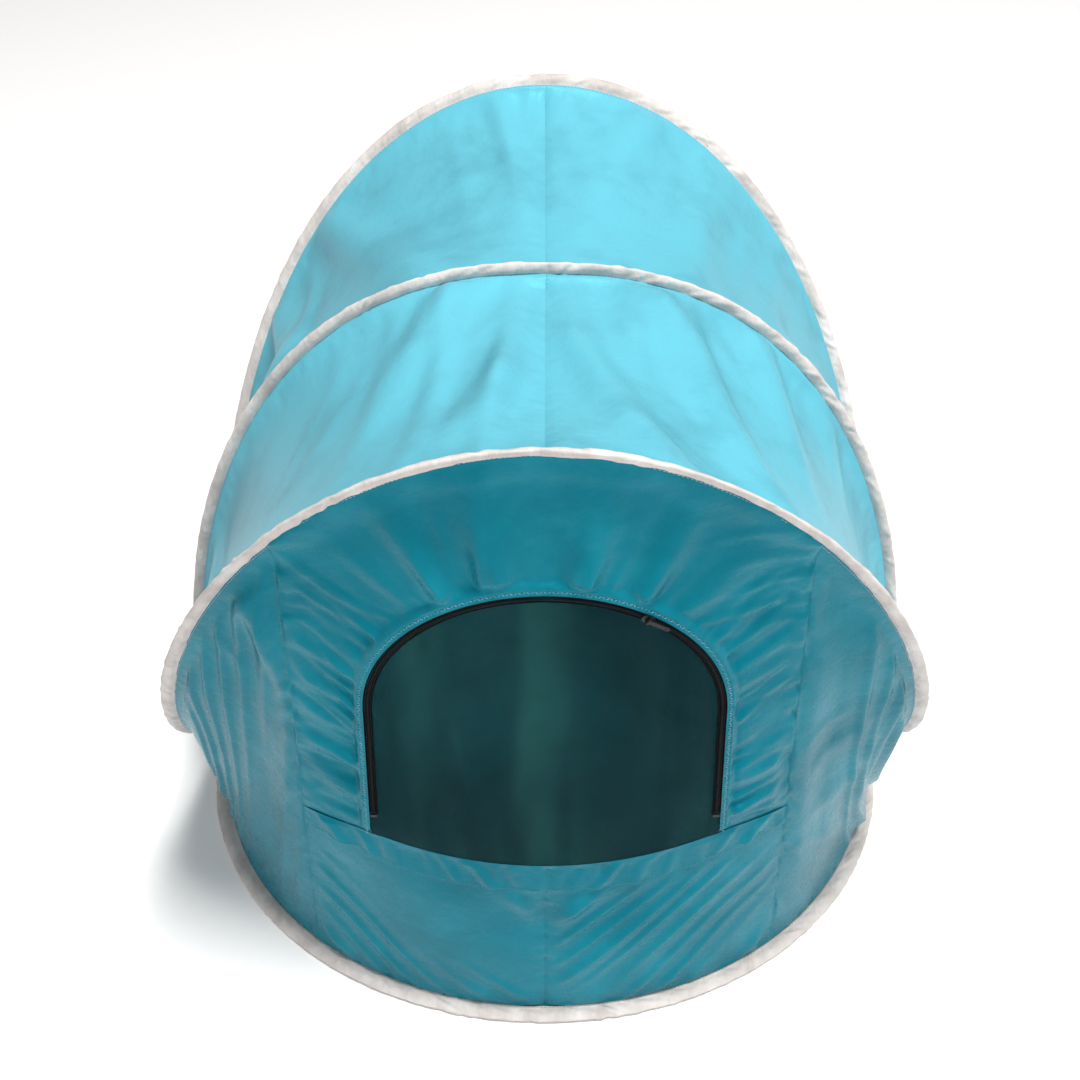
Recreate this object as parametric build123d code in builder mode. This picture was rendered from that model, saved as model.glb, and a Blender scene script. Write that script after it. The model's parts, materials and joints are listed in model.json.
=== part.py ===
"""Pop-up tunnel pod for dogs: three spring-steel loops in fabric sleeves carry a sewn shell.

Frame: +Z up, the floor is z = 0, the front door faces -Y, origin at the centre of the base.
Every length is in millimetres.
"""
from build123d import *
from math import cos, pi, radians, sin
import os

# --- driving dimensions -------------------------------------------------------------------
HALF_WIDTH = 490          # shell loop, at its two low points beside the base ring
SHELL_TOP = 913           # top of the front and rear arches
SHELL_LOW = 143           # low points of the shell loop, where front and rear arches meet
SHELL_REACH = 404         # how far each arch's top leans out from the middle
SADDLE_ROUND = 1.94       # side view of the shell loop: exponent along Y
SADDLE_RISE = 1.18        # side view of the shell loop: exponent along Z
MIDDLE_HALF_WIDTH = 505   # middle arch
MIDDLE_TOP = 863
MIDDLE_SQUARENESS = 2.33  # 2 is an ellipse, more is boxier
BASE_HALF_WIDTH = 491     # base ring, along X
BASE_HALF_LENGTH = 437    # base ring, along Y

SLEEVE_WIDTH = 20         # folded binding tape of the arches, across the fin
BASE_SLEEVE_WIDTH = 24
SLEEVE_THICKNESS = 9
SLEEVE_WALL = 2
STRIP_WIDTH = 5           # flat spring-steel strip
STRIP_THICKNESS = 2
FERRULE_PLAY = 0.4        # play of the strip in its ferrule
FERRULE_WALL = 0.7
BASE_FERRULE_LENGTH = 30
SHELL_FERRULE_LENGTH = 14
POCKET_SIZE = (28, 15, 40)
POCKET_WALL = 1.5
ARCH_FOOT = 156           # height of the middle arch's two ends, inside their pockets

CLOTH = 1.6               # thickness of a cloth panel
SEAM_GAP = 1.2            # clear gap between neighbouring panels
EDGE_INSET = 2            # panels stop this far inside a sleeve's open edge
ROOF_START = 0.21         # the roof panels start this share of the way up the half arch
FLOOR_LEVEL = 2.4         # underside of the floor sheet

SEAM_SHARE = 0.3          # the side seam's share of the way over the end wall
SEAM_TOP_ANGLE = 55.5     # where the side seams leave the arch, as an arch angle in degrees
SEAM_BASE_ANGLE = 50.0    # where they reach the base ring

DOOR_RADIUS = 193         # round top of the door opening
DOOR_CENTRE_Z = 537       # centre of the round top
DOOR_FOOT_HALF_WIDTH = 203
SILL_TOP = 303            # bottom of the opening, and top edge of the sill band
SILL_BAND_HEIGHT = 46
HINGE_Z = 366             # the door folds along the line between the zipper's two ends
HINGE_GAP = 0.8
DOOR_SHARES = (0.33, 0.67)

TAPE_WIDTH = 11           # zipper tape on each side of the chain's middle
TAPE_THICKNESS = 0.8
TAPE_LIFT = 2.8           # the tapes and chain lie this far in front of the panel
CHAIN_WIDTH = 6
CHAIN_THICKNESS = 2.2
STOP_SIZE = (8, 4, 3)
SLIDER_SIZE = (15, 10, 2)
SLIDER_CLEARANCE = 0.5
SLIDER_ANGLE = 32.5       # place of the slider on the round top, in degrees from the top
PIN_RADIUS = 1.0
PIN_PLAY = 0.08
PIN_HEIGHT = 2.4          # above the slider's plate
LUG_SIZE = (2.6, 1.4)
PULL_WIDTH = 4.6          # between the lugs
PULL_LENGTH = 26
PULL_THICKNESS = 1.5

ENDS = {"front": -1, "rear": 1}
SIDES = {"left": -1, "right": 1}


# --- the curves that carry the shape --------------------------------------------------------
def shell_point(angle, end):
    """Centre of the shell loop's fin. The angle runs over an arch from low point to low point."""
    rise = SHELL_TOP - SHELL_LOW
    height = SHELL_LOW + rise * sin(angle)
    drop = max(SHELL_TOP - height, 0) / rise
    reach = SHELL_REACH * max(1 - drop**SADDLE_RISE, 0) ** (1 / SADDLE_ROUND)
    return Vector(HALF_WIDTH * cos(angle), end * reach, height)


def middle_point(angle):
    """Centre of the middle arch's fin, for the same angles as the shell loop."""
    height = SHELL_LOW + (MIDDLE_TOP - SHELL_LOW) * sin(angle)
    narrowing = max(1 - (height / MIDDLE_TOP) ** MIDDLE_SQUARENESS, 0)
    side = 1 if cos(angle) >= 0 else -1
    return Vector(side * MIDDLE_HALF_WIDTH * narrowing ** (1 / MIDDLE_SQUARENESS), 0, height)


def base_point(angle, end):
    """Centre of the base ring's tape, at floor level."""
    return Vector(BASE_HALF_WIDTH * cos(angle), end * BASE_HALF_LENGTH * sin(angle), 0)


def even_angle(share):
    """Arch angle for a share of the way over an arch, evenly spaced near the low points."""
    if share <= 0.5:
        return pi / 2 * (2 * share) ** 2
    return pi - pi / 2 * (2 - 2 * share) ** 2


def shell_tangent(share, end):
    """Unit direction of the shell loop."""
    step = 0.002
    ahead = shell_point(even_angle(min(share + step, 1)), end)
    behind = shell_point(even_angle(max(share - step, 0)), end)
    return (ahead - behind).normalized()


def fin_direction(share, end):
    """The tape's fin points sideways at the low points, and up and outward at the top."""
    angle = even_angle(share)
    half_right = sin(pi / 4)
    lean = Vector(cos(angle), end * half_right * sin(angle), half_right * sin(angle))
    tangent = shell_tangent(share, end)
    return (lean - tangent * lean.dot(tangent)).normalized()


def share_of_angle(angle):
    """Inverse of even_angle."""
    if angle <= pi / 2:
        return 0.5 * (angle / (pi / 2)) ** 0.5
    return 1 - 0.5 * ((pi - angle) / (pi / 2)) ** 0.5


def sleeve_edge(angle, end):
    """Line where panels meet the shell loop's sleeve, just inside its open edge."""
    fin = fin_direction(share_of_angle(angle), end)
    return shell_point(angle, end) - fin * (SLEEVE_WIDTH / 2 + EDGE_INSET)


def middle_edge(angle, end):
    """Line where roof panels meet the middle arch's sleeve."""
    inward = Vector(-cos(angle), 0, -sin(angle)) * (SLEEVE_WIDTH / 2 + EDGE_INSET)
    return middle_point(angle) + inward + Vector(0, end * SEAM_GAP, 0)


def between(start, finish, share):
    """The point a share of the way from start to finish."""
    return start + (finish - start) * share


# --- the end wall, from the shell loop down to the base ring ----------------------------------
def wall_angles(share):
    """Arch angle and base angle of the wall line that lies a share of the way over the wall."""
    top_seam = radians(SEAM_TOP_ANGLE)
    base_seam = radians(SEAM_BASE_ANGLE)
    if share > 0.5:
        top, base = wall_angles(1 - share)
        return pi - top, pi - base
    if share < SEAM_SHARE:
        part = share / SEAM_SHARE
        return top_seam * part**2, base_seam * part
    part = (share - SEAM_SHARE) / (0.5 - SEAM_SHARE)
    return between(top_seam, pi / 2, part), between(base_seam, pi / 2, part)


def wall_line(share, end):
    """Top and bottom of one line of the end wall, between the two sleeves."""
    top_angle, base_angle = wall_angles(share)
    top = sleeve_edge(top_angle, end) - Vector(0, 0, SEAM_GAP)
    bottom = base_point(base_angle, end)
    inward = Vector(-bottom.X, -bottom.Y, 0).normalized()
    bottom = bottom + inward * (BASE_SLEEVE_WIDTH / 2 - EDGE_INSET)
    return top, bottom + Vector(0, 0, SLEEVE_THICKNESS + SEAM_GAP)


def wall_point(share, height, end, lift=0):
    """Point of the end wall at a height, lifted outward along Y."""
    top, bottom = wall_line(share, end)
    drop = (top.Z - height) / (top.Z - bottom.Z)
    return between(top, bottom, drop) + Vector(0, end * lift, 0)


def wall_share_at(x, height, end):
    """The wall line that passes through x at a height, found by halving."""
    low, high = SEAM_SHARE, 1 - SEAM_SHARE
    for _ in range(40):
        guess = (low + high) / 2
        if wall_point(guess, height, end).X > x:
            low = guess
        else:
            high = guess
    return (low + high) / 2


def track_point(degrees_from_top, end, lift=0):
    """Point of the zipper's track on the round top of the door."""
    angle = radians(degrees_from_top)
    x = DOOR_RADIUS * sin(angle)
    z = DOOR_CENTRE_Z + DOOR_RADIUS * cos(angle)
    return wall_point(wall_share_at(x, z, end), z, end, lift)


# --- helpers that make solids and files ----------------------------------------------------------
def lofted(sections, wall=None):
    """A smooth solid through rectangles, each given as a plane, a width and a thickness.

    With a wall given, each section is a folded tape: closed at its far side and open at its near one.
    """
    with BuildPart() as solid:
        for plane, width, thickness in sections:
            with BuildSketch(plane):
                Rectangle(width, thickness)
                if wall:
                    with Locations((-wall, 0)):
                        Rectangle(width, thickness - 2 * wall, mode=Mode.SUBTRACT)
        loft()
    return solid.part


def line_section(start, finish, along, thickness):
    """Section of a thin panel along the straight line from start to finish."""
    across = (finish - start).normalized()
    normal = (along - across * along.dot(across)).normalized()
    plane = Plane(origin=between(start, finish, 0.5), x_dir=across, z_dir=normal)
    return plane, (finish - start).length, thickness


def wall_panel(end, first, last, low=None, high=None, lift=0, thickness=CLOTH):
    """Panel of the end wall between two wall lines and two heights, or out to its sleeves."""
    sections = []
    steps = 12
    for i in range(steps + 1):
        share = between(first, last, i / steps)
        top, bottom = wall_line(share, end)
        high_z = top.Z if high is None else high
        low_z = bottom.Z if low is None else low
        after = wall_point(min(share + 0.003, last), 0.5 * (high_z + low_z), end)
        before = wall_point(max(share - 0.003, first), 0.5 * (high_z + low_z), end)
        start = wall_point(share, low_z, end, lift)
        finish = wall_point(share, high_z, end, lift)
        sections.append(line_section(start, finish, after - before, thickness))
    return lofted(sections)


def loop_ribbon(end, width, thickness, wall=None):
    """A ribbon along one arch of the shell loop, centred on the line of its fin."""
    sections = []
    steps = 32
    clear = 0.003
    for i in range(steps + 1):
        share = between(clear, 1 - clear, i / steps)
        centre = shell_point(even_angle(share), end)
        plane = Plane(origin=centre, x_dir=fin_direction(share, end), z_dir=shell_tangent(share, end))
        sections.append((plane, width, thickness))
    return lofted(sections, wall)


def save(piece, label):
    """Name one finished piece and write it to its own file."""
    piece.part.label = label
    export_step(piece.part, f"parts/{label}.step")


# --- the base: ring, sleeve, ferrule and floor sheet ---------------------------------------------
def ring_band(outer, inner):
    """Sketch of a band that follows the base ring."""
    Ellipse(BASE_HALF_WIDTH + outer, BASE_HALF_LENGTH + outer)
    Ellipse(BASE_HALF_WIDTH + inner, BASE_HALF_LENGTH + inner, mode=Mode.SUBTRACT)


def make_base():
    """Base ring on the floor, in a folded tape that is open towards the tent."""
    half_sleeve = BASE_SLEEVE_WIDTH / 2
    half_strip = STRIP_WIDTH / 2
    strip_low = (SLEEVE_THICKNESS - STRIP_THICKNESS) / 2
    for label, end in ENDS.items():
        with BuildPart() as sleeve:
            with BuildSketch():
                ring_band(half_sleeve, -half_sleeve)
            extrude(amount=SLEEVE_THICKNESS)
            with BuildSketch(Plane.XY.offset(SLEEVE_WALL)):
                ring_band(half_sleeve - SLEEVE_WALL, -half_sleeve - 1)
            extrude(amount=SLEEVE_THICKNESS - 2 * SLEEVE_WALL, mode=Mode.SUBTRACT)
            split(bisect_by=Plane.XZ.offset(-end * 0.5), keep=Keep.TOP if end < 0 else Keep.BOTTOM)
        save(sleeve, f"base_sleeve_{label}")

    with BuildPart() as strip:
        with BuildSketch(Plane.XY.offset(strip_low)):
            ring_band(half_strip, -half_strip)
        extrude(amount=STRIP_THICKNESS)
    save(strip, "base_strip")

    around = FERRULE_PLAY + FERRULE_WALL
    with BuildPart() as ferrule:
        with BuildSketch(Plane.XY.offset(strip_low - around)):
            with Locations((0, BASE_HALF_LENGTH)):
                Rectangle(BASE_FERRULE_LENGTH, STRIP_WIDTH + 2 * around)
        extrude(amount=STRIP_THICKNESS + 2 * around)
        with BuildSketch(Plane.XY.offset(strip_low - FERRULE_PLAY)):
            ring_band(half_strip + FERRULE_PLAY, -half_strip - FERRULE_PLAY)
        extrude(amount=STRIP_THICKNESS + 2 * FERRULE_PLAY, mode=Mode.SUBTRACT)
    save(ferrule, "base_ferrule")

    with BuildPart() as floor:
        with BuildSketch(Plane.XY.offset(FLOOR_LEVEL)):
            inset = half_sleeve + SEAM_GAP
            Ellipse(BASE_HALF_WIDTH - inset, BASE_HALF_LENGTH - inset)
        extrude(amount=CLOTH)
    save(floor, "floor_sheet")


# --- the shell loop: one saddle-shaped loop that makes both end arches ------------------------------
def make_shell_loop():
    """A tape over each arch, the steel strip inside it, and two ferrules at the low points."""
    for label, end in ENDS.items():
        with BuildPart() as sleeve:
            add(loop_ribbon(end, SLEEVE_WIDTH, SLEEVE_THICKNESS, SLEEVE_WALL))
        save(sleeve, f"{label}_arch_sleeve")
        with BuildPart() as strip:
            add(loop_ribbon(end, STRIP_WIDTH, STRIP_THICKNESS))
        save(strip, f"{label}_arch_strip")

    around = FERRULE_PLAY + FERRULE_WALL
    for label, side in SIDES.items():
        with BuildPart() as ferrule:
            with BuildSketch(Plane.XZ):
                with Locations((side * HALF_WIDTH, SHELL_LOW)):
                    Rectangle(STRIP_WIDTH + 2 * around, STRIP_THICKNESS + 2 * around)
                    Rectangle(
                        STRIP_WIDTH + 2 * FERRULE_PLAY,
                        STRIP_THICKNESS + 2 * FERRULE_PLAY,
                        mode=Mode.SUBTRACT,
                    )
            extrude(amount=SHELL_FERRULE_LENGTH / 2, both=True)
        save(ferrule, f"shell_ferrule_{label}")


# --- the middle arch -----------------------------------------------------------------------------------
def arch_ribbon(width, thickness, wall=None):
    """A ribbon along the middle arch, from one foot to the other."""
    sections = []
    steps = 24
    foot = (ARCH_FOOT - SHELL_LOW) / (MIDDLE_TOP - SHELL_LOW)
    for i in range(steps + 1):
        angle = between(foot, pi - foot, i / steps)
        step = min(0.004, foot / 2)
        along = (middle_point(angle + step) - middle_point(angle - step)).normalized()
        outward = Vector(along.Z, 0, -along.X)
        plane = Plane(origin=middle_point(angle), x_dir=outward, z_dir=along)
        sections.append((plane, width, thickness))
    return lofted(sections, wall)


def make_middle_arch():
    """A strip in a tape, whose two ends stand in pockets at the shell loop's low points."""
    with BuildPart() as sleeve:
        add(arch_ribbon(SLEEVE_WIDTH, SLEEVE_THICKNESS, SLEEVE_WALL))
    save(sleeve, "middle_arch_sleeve")

    with BuildPart() as strip:
        add(arch_ribbon(STRIP_WIDTH, STRIP_THICKNESS))
    save(strip, "middle_arch_strip")

    length, width, height = POCKET_SIZE
    pocket_low = SHELL_LOW + SLEEVE_THICKNESS / 2 + SEAM_GAP
    middle_x = middle_point((ARCH_FOOT - SHELL_LOW) / (MIDDLE_TOP - SHELL_LOW)).X - 1
    for label, side in SIDES.items():
        with BuildPart() as pocket:
            with BuildSketch(Plane.XY.offset(pocket_low)):
                with Locations((side * middle_x, 0)):
                    RectangleRounded(length, width, 3)
            extrude(amount=height)
            with BuildSketch(Plane.XY.offset(pocket_low + POCKET_WALL)):
                with Locations((side * middle_x, 0)):
                    RectangleRounded(length - 2 * POCKET_WALL, width - 2 * POCKET_WALL, 2)
            extrude(amount=height, mode=Mode.SUBTRACT)
        save(pocket, f"arch_pocket_{label}")


# --- the sewn shell ---------------------------------------------------------------------------------------
def roof_panel(end, side):
    """One half of a bay, from the middle arch to an end arch."""
    sections = []
    steps = 14
    for i in range(steps + 1):
        share = between(ROOF_START, 1, i / steps) / 2
        lines = []
        for place in (max(share - 0.003, 0), share, min(share + 0.003, 0.5)):
            angle = even_angle(place)
            start, finish = middle_edge(angle, end), sleeve_edge(angle, end)
            ridge = SEAM_GAP / 2
            start = Vector(side * max(start.X, ridge), start.Y, start.Z)
            finish = Vector(side * max(finish.X, ridge), finish.Y, finish.Z)
            lines.append((between(start, finish, 0.01), between(start, finish, 0.97)))
        (before, _), (start, finish), (after, _) = lines
        sections.append(line_section(start, finish, after - before, CLOTH))
    return lofted(sections)


def make_roof():
    """Four roof panels, two in each bay."""
    for end_label, end in ENDS.items():
        for side_label, side in SIDES.items():
            with BuildPart() as panel:
                add(roof_panel(end, side))
            save(panel, f"{end_label}_roof_{side_label}")


def make_end_wall(label, end):
    """One closed end: two gussets, the crown round the door, the sill and its band."""
    gap = 0.0015
    near, far = SEAM_SHARE + gap, 1 - SEAM_SHARE - gap
    gusset_shares = {"right": (gap, SEAM_SHARE - gap), "left": (1 - SEAM_SHARE + gap, 1 - gap)}
    for side, (first, last) in gusset_shares.items():
        with BuildPart() as gusset:
            add(wall_panel(end, first, last))
        save(gusset, f"{label}_gusset_{side}")

    reach = -end * 2 * SHELL_REACH
    with BuildPart() as crown:
        add(wall_panel(end, near, far, low=SILL_TOP + SEAM_GAP))
        extrude(to_extrude=door_outline(SEAM_GAP, SILL_TOP - 5), amount=reach, mode=Mode.SUBTRACT)
    save(crown, f"{label}_crown")

    with BuildPart() as sill:
        add(wall_panel(end, near, far, high=SILL_TOP))
    save(sill, f"{label}_sill")

    with BuildPart() as band:
        low = SILL_TOP - SILL_BAND_HEIGHT
        add(wall_panel(end, near, far, low=low, high=SILL_TOP, lift=CLOTH + 0.6))
    save(band, f"{label}_sill_band")


# --- the door and its zipper ---------------------------------------------------------------------------------
def door_outline(grow, foot_z):
    """The door's outline, grown by a distance: nearly straight sides and a round top."""
    lean = (DOOR_FOOT_HALF_WIDTH - DOOR_RADIUS) / (DOOR_CENTRE_Z - SILL_TOP)
    radius = DOOR_RADIUS + grow
    foot = radius + (DOOR_CENTRE_Z - foot_z) * lean
    with BuildSketch(Plane.XZ) as outline:
        with BuildLine():
            Line((-foot, foot_z), (-radius, DOOR_CENTRE_Z))
            ThreePointArc((-radius, DOOR_CENTRE_Z), (0, DOOR_CENTRE_Z + radius), (radius, DOOR_CENTRE_Z))
            Line((radius, DOOR_CENTRE_Z), (foot, foot_z))
            Line((foot, foot_z), (-foot, foot_z))
        make_face()
    return outline.sketch


def door_tape(label, end, inner, outer, thickness):
    """A tape that follows the door's sides and round top, in front of the end wall."""
    crest = DOOR_CENTRE_Z + DOOR_RADIUS + 2 * TAPE_WIDTH
    low = HINGE_Z + HINGE_GAP / 2
    reach = -end * 2 * SHELL_REACH
    with BuildPart() as tape:
        add(wall_panel(end, *DOOR_SHARES, low=low, high=crest, lift=TAPE_LIFT, thickness=thickness))
        extrude(to_extrude=door_outline(outer, HINGE_Z - 2), amount=reach, mode=Mode.INTERSECT)
        extrude(to_extrude=door_outline(inner, HINGE_Z - 4), amount=reach, mode=Mode.SUBTRACT)
    save(tape, label)


def make_door(label, end):
    """The mesh door, the mesh apron below its fold, and the tapes, chain and stops of its zipper."""
    half_chain = CHAIN_WIDTH / 2
    reach = -end * 2 * SHELL_REACH
    with BuildPart() as door:
        crest = DOOR_CENTRE_Z + DOOR_RADIUS
        add(wall_panel(end, *DOOR_SHARES, low=HINGE_Z + HINGE_GAP / 2, high=crest))
        outline = door_outline(-half_chain, HINGE_Z - 2)
        extrude(to_extrude=outline, amount=reach, mode=Mode.INTERSECT)
    save(door, f"{label}_door_mesh")

    with BuildPart() as apron:
        add(wall_panel(end, *DOOR_SHARES, low=SILL_TOP + SEAM_GAP, high=HINGE_Z - HINGE_GAP / 2))
        extrude(to_extrude=door_outline(0, SILL_TOP - 2), amount=reach, mode=Mode.INTERSECT)
    save(apron, f"{label}_door_apron")

    clear = 0.4
    door_tape(f"{label}_zip_tape_fixed", end, half_chain + clear, TAPE_WIDTH, TAPE_THICKNESS)
    door_tape(f"{label}_zip_tape_door", end, -TAPE_WIDTH, -half_chain - clear, TAPE_THICKNESS)
    door_tape(f"{label}_zip_chain", end, -half_chain, half_chain, CHAIN_THICKNESS)

    length, height, depth = STOP_SIZE
    stop_z = HINGE_Z - HINGE_GAP - height / 2
    lean = (DOOR_FOOT_HALF_WIDTH - DOOR_RADIUS) / (DOOR_CENTRE_Z - SILL_TOP)
    stop_x = DOOR_RADIUS + (DOOR_CENTRE_Z - stop_z) * lean
    with BuildPart() as stops:
        for side in SIDES.values():
            x = side * stop_x
            wall = wall_point(wall_share_at(x, stop_z, end), stop_z, end, TAPE_LIFT)
            with BuildSketch(Plane(origin=wall, x_dir=(1, 0, 0), z_dir=(0, end, 0))):
                RectangleRounded(length, height, 1)
            extrude(amount=depth)
    save(stops, f"{label}_zip_stops")


def slider_plane(end):
    """Plane of the slider's plate: X up along the track, Z out of the wall."""
    along = track_point(SLIDER_ANGLE - 2, end) - track_point(SLIDER_ANGLE + 2, end)
    along = along.normalized()
    outward = Vector(0, end, 0)
    outward = (outward - along * outward.dot(along)).normalized()
    lift = TAPE_LIFT + CHAIN_THICKNESS / 2 + SLIDER_CLEARANCE
    return Plane(origin=track_point(SLIDER_ANGLE, end, lift), x_dir=along, z_dir=outward)


def make_slider(label, end):
    """A plate on the outer face of the chain, with two lugs, and a pull tab that hangs on their pin."""
    plane = slider_plane(end)
    length, width, thickness = SLIDER_SIZE
    lug_length, lug_width = LUG_SIZE
    lug_middle = PULL_WIDTH / 2 + 0.3 + lug_width / 2
    pin_plane = plane.offset(thickness + PIN_HEIGHT)
    with BuildPart() as slider:
        with BuildSketch(plane):
            SlotOverall(length, width)
        extrude(amount=thickness)
        with BuildSketch(plane.offset(thickness)):
            with Locations((0, -lug_middle), (0, lug_middle)):
                Rectangle(lug_length, lug_width)
        extrude(amount=PIN_HEIGHT + lug_length / 2)
        with BuildSketch(Plane(origin=pin_plane.origin, x_dir=plane.x_dir, z_dir=plane.y_dir)):
            Circle(PIN_RADIUS)
        extrude(amount=lug_middle, both=True)
    save(slider, f"{label}_zip_slider")

    side_plane = Plane(origin=pin_plane.origin, x_dir=plane.x_dir, z_dir=-plane.y_dir)
    eye_radius = PIN_HEIGHT - 0.3
    with BuildPart() as pull:
        with BuildSketch(side_plane):
            Circle(eye_radius)
        extrude(amount=PULL_WIDTH / 2, both=True)
        with BuildSketch(pin_plane.offset(-PULL_THICKNESS / 2)):
            with Locations((-PULL_LENGTH / 2, 0)):
                SlotOverall(PULL_LENGTH, PULL_WIDTH)
        extrude(amount=PULL_THICKNESS)
        with BuildSketch(side_plane):
            Circle(PIN_RADIUS + PIN_PLAY)
        extrude(amount=PULL_WIDTH, both=True, mode=Mode.SUBTRACT)
        with BuildSketch(pin_plane.offset(-PULL_THICKNESS)):
            with Locations((-PULL_LENGTH + PULL_WIDTH, 0)):
                Circle(PULL_WIDTH / 5)
        extrude(amount=2 * PULL_THICKNESS, mode=Mode.SUBTRACT)
    save(pull, f"{label}_zip_pull")


# --- build everything ------------------------------------------------------------------------------------------
os.makedirs("parts", exist_ok=True)
make_base()
make_shell_loop()
make_middle_arch()
make_roof()
for end_label, end_sign in ENDS.items():
    make_end_wall(end_label, end_sign)
    make_door(end_label, end_sign)
    make_slider(end_label, end_sign)
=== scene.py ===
import json
import math
import bpy
import numpy as np
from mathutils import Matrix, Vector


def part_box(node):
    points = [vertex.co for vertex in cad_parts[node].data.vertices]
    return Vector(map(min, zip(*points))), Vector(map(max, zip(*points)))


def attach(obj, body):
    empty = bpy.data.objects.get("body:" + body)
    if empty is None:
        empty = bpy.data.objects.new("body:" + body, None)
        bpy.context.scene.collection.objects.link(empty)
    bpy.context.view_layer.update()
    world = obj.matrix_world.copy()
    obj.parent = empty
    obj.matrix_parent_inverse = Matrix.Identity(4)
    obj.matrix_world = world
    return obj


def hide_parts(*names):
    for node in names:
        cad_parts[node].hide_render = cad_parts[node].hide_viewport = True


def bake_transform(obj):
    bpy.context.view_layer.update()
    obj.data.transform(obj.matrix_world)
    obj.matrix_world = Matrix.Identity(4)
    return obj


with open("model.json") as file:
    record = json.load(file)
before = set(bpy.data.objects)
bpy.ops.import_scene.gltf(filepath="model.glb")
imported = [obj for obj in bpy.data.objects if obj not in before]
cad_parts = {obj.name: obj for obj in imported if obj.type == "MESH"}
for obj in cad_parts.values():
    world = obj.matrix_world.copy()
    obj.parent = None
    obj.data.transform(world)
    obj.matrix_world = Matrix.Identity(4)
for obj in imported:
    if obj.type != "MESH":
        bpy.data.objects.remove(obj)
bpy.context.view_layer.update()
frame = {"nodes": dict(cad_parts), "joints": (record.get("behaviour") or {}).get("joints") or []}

# --- sizes, as in the CAD model ---------------------------------------------------------------
SLEEVE_WIDTH = 0.020
SLEEVE_THICKNESS = 0.009
BASE_SLEEVE_WIDTH = 0.024
SHELL_LOW = 0.143
SHELL_REACH = 0.404
SADDLE_ROUND, SADDLE_RISE = 1.94, 1.18
MIDDLE_SQUARENESS = 2.33
MIDDLE_HALF_WIDTH = 0.505
EDGE_INSET = 0.002
SEAM_SHARE = 0.3            # share along the end wall at which its side seams stand
SEAM_TOP_ANGLE, SEAM_BASE_ANGLE = math.radians(55.5), math.radians(50)
DOOR_RADIUS, DOOR_CENTRE_Z, DOOR_FOOT_HALF_WIDTH = 0.193, 0.537, 0.203
SILL_TOP, SILL_BAND_HEIGHT = 0.303, 0.046
HINGE_Z = 0.366
TAPE_LIFT = 0.0028

base_low, base_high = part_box("base_sleeve_front")
arch_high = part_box("front_arch_sleeve")[1]
middle_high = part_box("middle_arch_sleeve")[1]
BASE_HALF_WIDTH = base_high.x - BASE_SLEEVE_WIDTH / 2
BASE_HALF_LENGTH = -base_low.y - BASE_SLEEVE_WIDTH / 2
HALF_WIDTH = arch_high.x - SLEEVE_WIDTH / 2
FIN_RISE = (SLEEVE_WIDTH + SLEEVE_THICKNESS) / 2 * math.sqrt(0.5)
SHELL_TOP = arch_high.z - FIN_RISE
MIDDLE_TOP = middle_high.z - SLEEVE_WIDTH / 2

# --- sizes of the cloth ------------------------------------------------------------------------
TUCK = 0.0045               # panels reach this far inside the line of the strip
SILL_SLANT = -0.95          # lean of the folds below the door, radians
HEM_SAG = 0.019             # how much higher the door's hem is at its ends than in the middle
HEM_WIDTH = 0.009           # plain strip between the zipper and the gathers
COIL_HALF = 0.0032          # from the middle of the zipper to its tapes
KNOTS = 96                  # knots across the noise before it repeats
HALVINGS = 24               # steps of the search for a point's place across the wall
CABIN_MIDDLE = 0.35         # height of a point that every panel faces away from

ENDS = {"front": -1, "rear": 1}
SIDES = {"left": -1, "right": 1}


# --- arrays ---------------------------------------------------------------------------------------
def xyz(x, y, z):
    """Points from three arrays or numbers."""
    return np.stack(np.broadcast_arrays(np.asarray(x, float), y, z), axis=-1)


def unit(vectors):
    """The vectors at length one."""
    return vectors / np.maximum(np.linalg.norm(vectors, axis=-1, keepdims=True), 1e-12)


def ramp(value, low, high):
    """0 below low, 1 above high, smooth between."""
    part = np.clip((value - low) / (high - low), 0, 1)
    return part * part * (3 - 2 * part)


def noise(u, v, seed):
    """Smooth noise from -1 to 1 on a plane, one unit between its knots."""
    knots = np.random.default_rng(seed).uniform(-1, 1, (KNOTS, KNOTS))
    i, j = np.floor(u).astype(int), np.floor(v).astype(int)
    s, t = u - i, v - j
    s, t = s * s * (3 - 2 * s), t * t * (3 - 2 * t)
    i, j = i % KNOTS, j % KNOTS
    next_i, next_j = (i + 1) % KNOTS, (j + 1) % KNOTS
    near = knots[i, j] * (1 - s) + knots[next_i, j] * s
    far = knots[i, next_j] * (1 - s) + knots[next_i, next_j] * s
    return near * (1 - t) + far * t


def folds(u, v, angle, pitch, stretch, height, seed):
    """Long tension folds a pitch apart, which run along a direction and fade in and out."""
    along = (u * math.cos(angle) + v * math.sin(angle)) / (pitch * stretch)
    across = (v * math.cos(angle) - u * math.sin(angle)) / pitch
    phase = across + 0.55 * noise(across / 3, along * 0.7, seed)
    crest = (0.5 + 0.5 * np.cos(2 * math.pi * phase)) ** 2
    return crest * ramp(noise(across / 2.2, along * 0.8, seed + 1), -0.25, 0.6) * height


def wrinkles(across, along, pitch, length, height, seed):
    """Soft wrinkles up and down, a pitch apart and much longer than wide."""
    wander = noise(along / length, across / (3 * pitch), seed + 1) * 0.8
    value = noise(across / pitch * 1.5 + wander, along / length, seed) * 1.5
    return np.clip(value, -1, 1) * height


def pucker(distance, along, pitch, reach, height, seed):
    """Short wrinkles that stand square to a seam and die away from it."""
    waves = noise(along / pitch, distance / (3 * reach), seed)
    return waves * np.exp(-np.abs(distance) / reach) * height


def arc_length(points):
    """Length along the first axis of a grid of points."""
    steps = np.linalg.norm(np.diff(points, axis=0), axis=-1)
    return np.concatenate([np.zeros_like(steps[:1]), np.cumsum(steps, axis=0)])


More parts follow.
